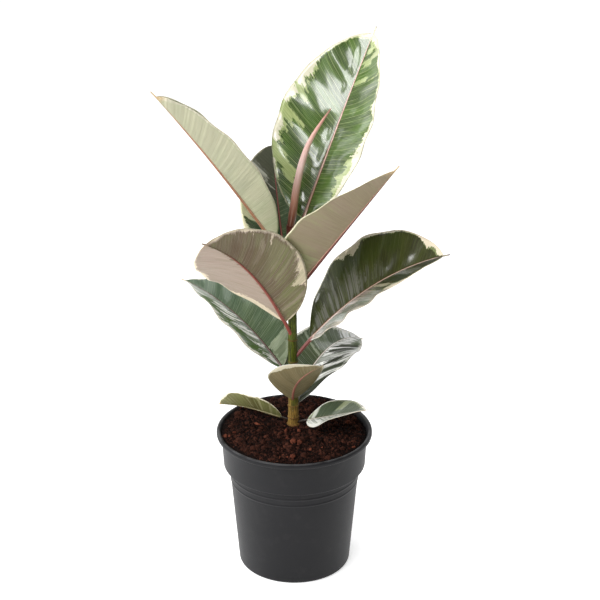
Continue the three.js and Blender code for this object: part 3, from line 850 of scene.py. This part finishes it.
leaf_looks["leaf_11_top"] = dict(
    lines=0.85, marbling=0.85, green=(68, 104, 28), deep=(26, 56, 8), pale=(188, 199, 138),
    cream=(241, 236, 210), rib=(214, 172, 150), tip=(214, 200, 160),
    cream_left={0: 6, 6: 5, 20: 5, 26: 8, 31: 13, 38: 12, 44: 8, 52: 8, 57: 12, 60: 19, 63: 14, 70: 14,
                78: 8, 82: 4, 90: 6, 96: 12, 98.5: 100},
    cream_right={0: 10, 16: 10, 24: 16, 34: 12, 39: 24, 43: 14, 55: 8, 60: 6, 64: 16, 69: 5, 82: 6, 93: 20,
                 97: 100},
    pale_left={0: 50, 5: 8, 14: 8, 20: 10, 31: 16, 40: 16, 50: 8, 57: 15, 61: 24, 66: 17, 74: 16, 80: 6,
               90: 8, 95: 16, 97: 100},
    pale_right={0: 10, 15: 10, 17: 26, 23: 32, 27: 42, 30: 30, 37: 25, 47: 13, 60: 8, 64: 18, 70: 6, 90: 14,
                96: 100},
    patches=[(left, 13, 20, 70, 110, 1), (left, 9.5, 16.5, 50, 82, 1), (left, 30, 36, 70, 110, 1),
             (left, 33.5, 36, 58, 80, 1), (left, 44, 46.5, 66, 90, 1), (left, 50, 51.5, 74, 90, 1),
             (right, 70.5, 73.5, 8, 45, 1), (right, 70, 71.5, 40, 95, 1), (right, 80, 84, 10, 50, 1),
             (right, 82, 86, 45, 110, 1.3), (right, 87.5, 94, 12, 45, 1)])
# The two grey tints under its left half, towards the tip, are painted shade.
leaf_looks["leaf_10_upper_left"] = dict(
    ragged=0.4, lines=0.7, marbling=0.6, under_green=(174, 172, 144), under_deep=(158, 163, 130),
    under_pale=(196, 194, 172), under_cream=(204, 199, 178), under_rib=(160, 112, 84), stalk=(150, 96, 80),
    cream_left={0: 4, 40: 3, 90: 8, 100: 60}, cream_right={0: 4, 40: 3, 90: 6, 100: 30},
    pale_left={0: 5, 40: 3, 90: 8, 100: 60}, pale_right={0: 5, 40: 3, 90: 6, 100: 30},
    under_tints_and_painted_light=[(left, 30, 130, 0, 110, 0.6, (150, 150, 126)),
                  (left, 55, 130, 0, 110, 0.5, (150, 148, 124))])
# Its underside tones are set darker than leaf 10's: partly its own taupe, partly painted shade where it
# lies in shade.
leaf_looks["leaf_09_upper_right"] = dict(
    marbling=0.4, under_green=(146, 130, 110), under_deep=(132, 122, 94), under_pale=(150, 152, 114),
    under_cream=(206, 194, 168), under_rib=(104, 60, 54), stalk=(96, 52, 46),
    cream_right={0: 6, 40: 2, 90: 2, 100: 10}, pale_right={0: 10, 50: 3, 90: 3, 100: 20},
    patches=[(right, 10, 22, 10, 90, 0.8)],
    under_tints_and_painted_light=[(right, 0, 30, 30, 110, 0.35, (146, 152, 104)),
                  (right, 45, 60, 60, 110, 0.3, (146, 152, 104))])
# The pale grey tint on its left half, from 66 to 75 percent, is a painted sheen.
leaf_looks["leaf_08_back"] = dict(
    green=(62, 78, 50), deep=(42, 52, 36), pale=(176, 184, 140), rib=(140, 84, 76), stalk=(120, 70, 60),
    cream_left={0: 10, 20: 20, 45: 6, 90: 6, 100: 20}, cream_right={0: 10, 50: 10, 90: 30, 100: 60},
    pale_left={0: 50, 20: 40, 42: 8, 90: 8, 100: 30}, pale_right={0: 20, 50: 20, 90: 40, 100: 80},
    patches=[(left, 34, 41, 55, 110, 1.4), (left, 2, 10, 50, 110, 1.3)],
    tints_and_painted_light=[(left, 50, 120, 0, 110, 0.85, (84, 84, 70)), (left, 10, 50, 0, 70, 0.8, (50, 74, 46)),
            (left, 66, 75, 20, 90, 1, (196, 196, 182)), (right, -20, 120, 0, 110, 0.7, (50, 70, 44))])
leaf_looks["leaf_07_front_left"] = dict(
    marbling=0.9, rib_fades=0.75, tip=(168, 148, 126), under_green=(112, 108, 76), under_deep=(100, 84, 66),
    under_pale=(167, 151, 137), under_cream=(218, 204, 178), under_rib=(142, 80, 70), stalk=(146, 76, 66),
    cream_left={0: 30, 5: 10, 10: 3, 22: 3, 26: 30, 29: 22, 36: 18, 42: 8, 50: 4, 75: 4, 78: 12, 82: 18,
                85: 10, 92: 14, 96: 50, 100: 80},
    cream_right={0: 80, 12: 45, 20: 40, 25: 28, 29: 5, 45: 3, 50: 10, 58: 5, 80: 6, 95: 10, 100: 30},
    pale_left={0: 40, 6: 14, 22: 5, 26: 32, 36: 22, 50: 6, 76: 8, 82: 26, 90: 18, 96: 70, 100: 100},
    pale_right={0: 100, 100: 100},
    patches=[(left, 8, 10, 25, 100, 0.5), (left, 13, 14, 35, 100, 0.4), (left, 30, 32, 30, 100, 0.4),
             (left, 37, 38.5, 30, 90, 0.3), (left, 50, 54, 20, 70, 0.35), (left, 60, 61.2, 72, 110, 1.7),
             (left, 69, 70, 70, 110, 1.7), (left, 47, 47.8, 80, 110, 1.7)],
    under_tints_and_painted_light=[(left, 2, 40, 30, 100, 0.4, (126, 132, 84)), (left, 45, 75, 0, 50, 0.5, (100, 82, 62)),
                  (right, 10, 90, 0, 80, 0.2, (186, 160, 150))])
# The grey tints by the midrib on its left half are painted sheen, and the near-white ones at the foot of
# its right half are painted sheen over pale variegation.
leaf_looks["leaf_06_right"] = dict(
    streak_pitch=1.4 * mm, lines=0.2, marbling=0.6, green=(50, 56, 14), deep=(30, 32, 10),
    pale=(128, 140, 90), cream=(240, 228, 202), rib=(200, 174, 158), tip=(60, 40, 32),
    under_rib=(150, 84, 78), stalk=(140, 82, 78),
    cream_left={0: 2, 34: 2, 38: 12, 44: 16, 50: 10, 53: 3, 60: 5, 84: 3, 88: 20, 90: 50, 92.5: 35, 95: 30,
                96.5: 80, 100: 80}, cream_right={0: 25, 20: 30, 50: 30, 70: 30, 82: 20, 88: 5, 100: 5},
    pale_left={0: 3, 36: 3, 44: 18, 56: 5, 86: 6, 90: 55, 93: 45, 96.5: 90, 100: 90},
    pale_right={0: 60, 30: 80, 50: 80, 56: 80, 60: 40, 75: 35, 84: 20, 100: 10},
    patches=[(right, 50, 54.5, 5, 60, 1.5)],
    tints_and_painted_light=[(left, 0, 42, 4, 60, 0.4, (136, 134, 130)), (left, 44, 60, 4, 40, 0.25, (136, 134, 130)),
            (left, 30, 70, 50, 100, 0.5, (52, 66, 8)), (right, -50, 44, 30, 120, 0.9, (196, 194, 186)),
            (right, -30, 50, 0, 50, 0.7, (184, 182, 176)), (right, 12, 34, 16, 80, 0.9, (138, 152, 136)),
            (right, 20, 54, 0, 24, 0.8, (192, 166, 152)), (right, 56, 68, 6, 75, 1, (42, 52, 26)),
            (right, 76, 110, 0, 80, 0.9, (42, 46, 22))])
# The near-white tints by the midrib on its left half, and the whitish one on that half from 62 percent to
# the tip, are painted sheen.
leaf_looks["leaf_05_left"] = dict(
    streak_pitch=3 * mm, ragged=1.3, green=(84, 108, 76), deep=(50, 75, 44), pale=(170, 182, 152),
    cream=(240, 236, 220), rib=(140, 116, 110), stalk=(136, 88, 78),
    cream_left={0: 6, 8: 8, 11: 34, 17: 30, 20: 12, 30: 16, 42: 10, 46: 30, 56: 28, 62: 10, 75: 14,
                100: 40}, cream_right={0: 10, 30: 3, 60: 3, 90: 6, 100: 30},
    pale_left={0: 20, 10: 10, 14: 34, 20: 8, 44: 8, 45.5: 60, 49: 60, 52: 16, 64: 10, 72: 40, 100: 80},
    pale_right={0: 60, 15: 30, 25: 6, 90: 8, 100: 40}, patches=[(right, 2, 17, 12, 110, 1)],
    tints_and_painted_light=[(left, -20, 62, 22, 82, 1, (74, 104, 36)), (right, 3, 12, 20, 90, 0.7, (112, 126, 92)),
            (left, 2, 10, 5, 50, 1, (255, 255, 250)), (left, 12, 19, 5, 45, 1, (255, 255, 250)),
            (left, 20.5, 29, 5, 50, 1, (255, 255, 250)), (left, 30.5, 40, 5, 50, 1, (255, 255, 250)),
            (left, 42, 62, 5, 46, 1, (255, 255, 250)), (left, 62, 120, 0, 80, 0.9, (246, 248, 242)),
            (right, 55, 120, 0, 110, 0.5, (70, 92, 70))])
leaf_looks["leaf_04_front"] = dict(
    ragged=0.3, marbling=0.7, green=(74, 80, 40), deep=(58, 62, 32), cream=(214, 216, 210),
    tip=(146, 136, 108), under_green=(120, 108, 78), under_deep=(102, 92, 64), under_pale=(150, 144, 112),
    under_cream=(196, 188, 164), under_rib=(132, 84, 70), stalk=(112, 92, 46),
    cream_left={0: 4, 50: 4, 70: 10, 80: 10, 100: 10},
    cream_right={0: 3, 30: 2, 48: 3, 58: 16, 75: 27, 90: 22, 100: 10},
    pale_left={0: 10, 50: 10, 70: 20, 100: 20}, pale_right={0: 6, 36: 6, 50: 6, 60: 20, 75: 30, 100: 20})
# The whitish tints on its left half towards the tip and along its right half are painted sheen over pale
# variegation.
leaf_looks["leaf_03_back_right"] = dict(
    streak_pitch=2.6 * mm, green=(70, 86, 54), deep=(42, 56, 30), pale=(158, 168, 146),
    cream=(238, 236, 224), rib=(218, 216, 206), stalk=(136, 104, 84),
    cream_left={0: 4, 70: 5, 88: 30, 100: 80}, cream_right={0: 6, 12: 10, 25: 8, 50: 5, 75: 10, 100: 50},
    pale_left={0: 6, 70: 8, 85: 50, 100: 100}, pale_right={0: 10, 20: 15, 40: 10, 60: 10, 80: 20, 100: 80},
    patches=[(left, 46, 47.5, 5, 90, 0.8), (left, 50, 51, 10, 70, 0.7)],
    tints_and_painted_light=[(left, 74, 100, 0, 110, 0.85, (228, 230, 228)), (right, -50, 120, 0, 55, 1, (255, 255, 252)),
            (right, -50, 60, 45, 110, 0.75, (250, 250, 246)), (right, -20, 12, 25, 110, 1, (52, 60, 40)),
            (right, 18, 25, 25, 95, 1, (48, 56, 36)), (right, 30, 37, 20, 80, 1, (40, 46, 28)),
            (right, 43, 53, 15, 75, 1, (40, 46, 28)), (right, 58, 64, 15, 85, 1, (52, 58, 40)),
            (right, 64, 120, 35, 95, 0.8, (84, 100, 66))])
# Its stalk is painted dark brown: partly its own colour, partly painted shade near the soil.
leaf_looks["leaf_02_low_left"] = dict(
    marbling=0.8, rib=(150, 140, 100), under_green=(114, 116, 68), under_deep=(86, 80, 42),
    under_pale=(166, 162, 120), under_cream=(238, 232, 210), under_rib=(96, 84, 52), stalk=(46, 34, 22),
    cream_left={0: 4, 40: 6, 70: 3, 100: 40}, pale_left={0: 10, 30: 10, 70: 5, 100: 50},
    patches=[(left, 14, 16, 10, 110, 0.6), (left, 26, 29, 10, 110, 0.8), (left, 40, 42, 20, 110, 0.5)])
# Its two whitish tints, at the foot of its left half and along its right half, are painted sheen over pale
# variegation. Its stalk is painted dark brown: partly its own colour, partly painted shade near the soil.
leaf_looks["leaf_01_low_right"] = dict(
    green=(66, 82, 52), deep=(46, 60, 34), pale=(146, 156, 116), cream=(242, 240, 226), rib=(206, 206, 190),
    under_rib=(110, 84, 62), stalk=(40, 28, 20),
    cream_left={0: 20, 10: 8, 35: 8, 46: 3, 70: 4, 80: 14, 90: 30, 100: 80},
    cream_right={0: 30, 30: 35, 70: 50, 100: 100},
    pale_left={0: 90, 10: 30, 15: 10, 44: 10, 75: 20, 85: 40, 100: 100},
    pale_right={0: 50, 30: 50, 70: 60, 100: 100}, patches=[(left, 40, 50, 35, 110, 0.9)],
    tints_and_painted_light=[(left, -10, 12, 10, 110, 0.8, (216, 220, 208)),
            (right, -90, 80, 10, 110, 0.85, (226, 228, 218)), (left, 14, 40, 10, 90, 0.75, (60, 74, 54)),
            (left, 52, 80, 0, 90, 0.6, (58, 72, 46))])

edge_softness, vein_pitch = 0.014, 5 * mm
light_tint, rib_edge_shares = 300, (0.5, 0.38, 0.3)


def leaf_material(name, length, width, seed):
    look = {**plain_look, **leaf_looks[name]}
    material, graph = new_material(name)
    share, out, reach, upper, rod = (
        graph.attribute(key) for key in ("share", "out", "reach", "upper", "rod"))
    across, from_rib, right_side = abs(out), abs(reach), out > 0
    on_side = {left: 1 - right_side, right: right_side}
    bed = seed + right_side * right_seed
    lean = right_side.between(leaf_sizes[name]["lean_left"], leaf_sizes[name]["lean_right"])
    start = vein_start(share, from_rib, length, lean)
    sway = graph.noise(graph.vector(start / (9 * mm), from_rib / (30 * mm), bed), 1.0, 2.0) - 0.5

    def vein_noise(pitch, run, salt, detail=2.0):
        """Noise that turns over a pitch along the midrib, and over a longer run along the veins."""
        return graph.noise(graph.vector(start / pitch, from_rib / run, bed + salt), 1.0, detail)

    def vein_steps(pitch, salt):
        """A random number from -0.5 to 0.5 for each strip between two veins."""
        strip = ((start + sway * pitch) / pitch).floor()
        return graph.speck(graph.vector(strip, bed + salt, 0)) - 0.5

    jag = (vein_noise(9 * mm, 40 * mm, 1.0) - 0.5) * 0.9 + vein_steps(3.4 * mm, 2.0) * 0.3
    jag = jag + vein_steps(1.3 * mm, 3.0) * 0.16 + (vein_noise(2 * mm, 3 * mm, 4.0, 4.0) - 0.5) * 0.9
    jag = jag * look["ragged"]

    def run(value, low, high, jagged, before, after):
        """1 where a value lies between two limits in percent, with jagged ends, and 0 elsewhere."""
        return ((value - low / 100).at_most(high / 100 - value) + jag * jagged).step(before, after)

    def margin_width(key):
        """The width of a margin of the look along the blade, as a share of the half blade."""
        return graph.curve(share, [(place / 100, width / 100) for place, width in look[key].items()])

    def margin_mask(key, wider=0.0):
        """1 in the margin of that name and 0 elsewhere."""
        band = right_side.between(margin_width(key + "_left"), margin_width(key + "_right"))
        uneven = jag * (band * 1.6).at_most(0.4)
        return (across - 1 + band + wider + uneven).step(-edge_softness, edge_softness)

    cream, pale_part = margin_mask("cream"), margin_mask("pale")
    shore = margin_mask("pale", 0.05) - pale_part
    tone = pale_part.at_least(cream) + cream
    for side, low, high, near, far, patch_tone in look["patches"]:
        within = run(start / length, low, high, 0.02, -0.002, 0.002)
        ends = run(across, near, far, 0.35, -0.01, 0.01)
        tone = (within * ends * on_side[side]).between(tone, patch_tone)

    def with_tints_and_painted_light(colour, tints_and_painted_light):
        """The colour and the dullness under tints and painted light. A light one is streaky and keeps the
        gloss, and a dark one dulls it. Most near-white and grey ones are painted sheen, and some grey ones
        are painted shade.
        """
        dull = 0
        for order, (side, low, high, near, far, strength, tint) in enumerate(tints_and_painted_light):
            streaks = vein_steps(look["streak_pitch"], 21.0 + order)
            streaks = streaks + vein_noise(5 * mm, 30 * mm, 41.0 + order)
            within = run(start / length, low, high, 0.05, -0.01, 0.015)
            ends = run(across, near, far, 0.5, -0.05, 0.08)
            light = sum(tint) > light_tint
            streaky = streaks.step(0.25, 0.65).between(0.15 if light else 0.85, 1)
            tint_and_painted_light_mask = within * ends * on_side[side] * streaky * strength
            # Here the leaf's own tints, painted sheen and painted shade are mixed into the colour.
            colour = graph.mix(tint_and_painted_light_mask, colour, tint)
            if not light:
                dull = tint_and_painted_light_mask.at_least(dull)
        return colour, dull

    def shades(green, deep, pale, cream_tone, softness):
        """The blade's colour at its tone, with paler veins and a fine marbling along them."""
        marble = vein_noise(13 * mm, 60 * mm, 7.0, 3.0) + (0.5 - across) * 0.1
        marble = marble.step(0.5 - softness, 0.5 + softness)
        colour = graph.mix((marble * look["marbling"]).at_least(shore * 0.8), green, deep)
        lighter = [0.62 * g + 0.38 * p for g, p in zip(green, pale)]
        colour = graph.mix(hair.step(0.45, 0.7) * 0.5, colour, lighter)
        colour = graph.mix((vein_line + fine_line * 0.5) * look["lines"], colour, pale)
        streaked = [0.6 * p + 0.4 * g for p, g in zip(pale, green)]
        pale_mix = graph.mix(hair.step(0.45, 0.6) * 0.6, pale, streaked)
        colour = graph.mix(tone.at_most(1), colour, pale_mix)
        return graph.mix((tone - 1).at_least(0), colour, cream_tone)

    def face(which, softness):
        """The colour and the dullness of one face, whose tones in the look begin with the given word."""
        tones = [look[which + tone] for tone in ("green", "deep", "pale", "cream")]
        return with_tints_and_painted_light(shades(*tones, softness), look[which + "tints_and_painted_light"])

    hair = vein_noise(0.8 * mm, 16 * mm, 9.0, 3.0)
    vein_phase = (start / vein_pitch + sway * 0.5).fraction() - 0.5
    vein_line = abs(vein_phase).step(0.43, 0.5) * vein_noise(6 * mm, 30 * mm, 15.0).step(0.3, 0.6)
    fine_line = abs((start / (vein_pitch * 0.31) + sway).fraction() - 0.5).step(0.3, 0.5)
    rib_width = rib_radius(share, width) * 1.15
    rib = (from_rib - rib_width).step(0.15 * mm, -0.15 * mm)
    rib_side = (from_rib - rib_width * 0.4).step(0, 0.3 * mm)
    rib_edge = [tone * darker for tone, darker in zip(look["rib"], rib_edge_shares)]
    rib_tone = graph.mix(rib_side, look["rib"], rib_edge)
    rib_tone = graph.mix(share.step(0.93, 1.0), rib_tone, look["tip"])
    top, dull = face("", 0.12)
    top = graph.mix(rib.at_least(rod), top, rib_tone)
    below = face("under_", 0.14)[0]
    below = graph.mix(across.step(0.965, 0.99) * 0.8, below, look["cream"])
    stalk = graph.mix(share.step(0.0, 0.05), look["stalk"], look["under_rib"])
    faded = share.step(look["rib_fades"] - 0.15, look["rib_fades"] + 0.1)
    below = graph.mix(rod * (1 - faded), below, stalk)
    below = graph.mix(share.step(0.95, 1.0), below, look["tip"])
    colour = graph.mix(upper.step(0.3, 0.7), below, top)
    colour = graph.mix(rod * share.step(0.03, 0.0), colour, stalk)

    pillow = (1 - abs(vein_phase) * 2) ** 0.5
    leather = graph.noise(graph.place(), 1100.0, 2.0, 0.6)
    relief = pillow * 0.15 + vein_noise(2.4 * mm, 30 * mm, 12.0, 3.0) * 1.3 + leather * 0.1
    relief = relief + vein_noise(1 * mm, 14 * mm, 13.0) * 0.6
    gloss = upper * (1 - dull)
    graph.surface(colour, gloss.between(0.5, 0.27) + leather * 0.08, relief, 0.5 * mm,
                  Coat_Weight=gloss, Coat_Roughness=0.15, Coat_IOR=1.6, Specular_IOR_Level=0.2)
    return material


length_names = ("node", "petiole", "length", "width", "wave_left", "wave_right", "ruffle", "ruffle_pitch")
growth = leaf_tree()
for order, (name, sizes) in enumerate(leaf_sizes.items()):
    given = {key: float(value * mm if key in length_names else value) for key, value in sizes.items()}
    seed = 7.3 * (order + 1)
    finish = leaf_material(name, given["length"], given["width"], seed)
    leaf = grow(name + "_blade", growth, finish, seed=seed, **given)
    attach(leaf, "root")
    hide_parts(name)
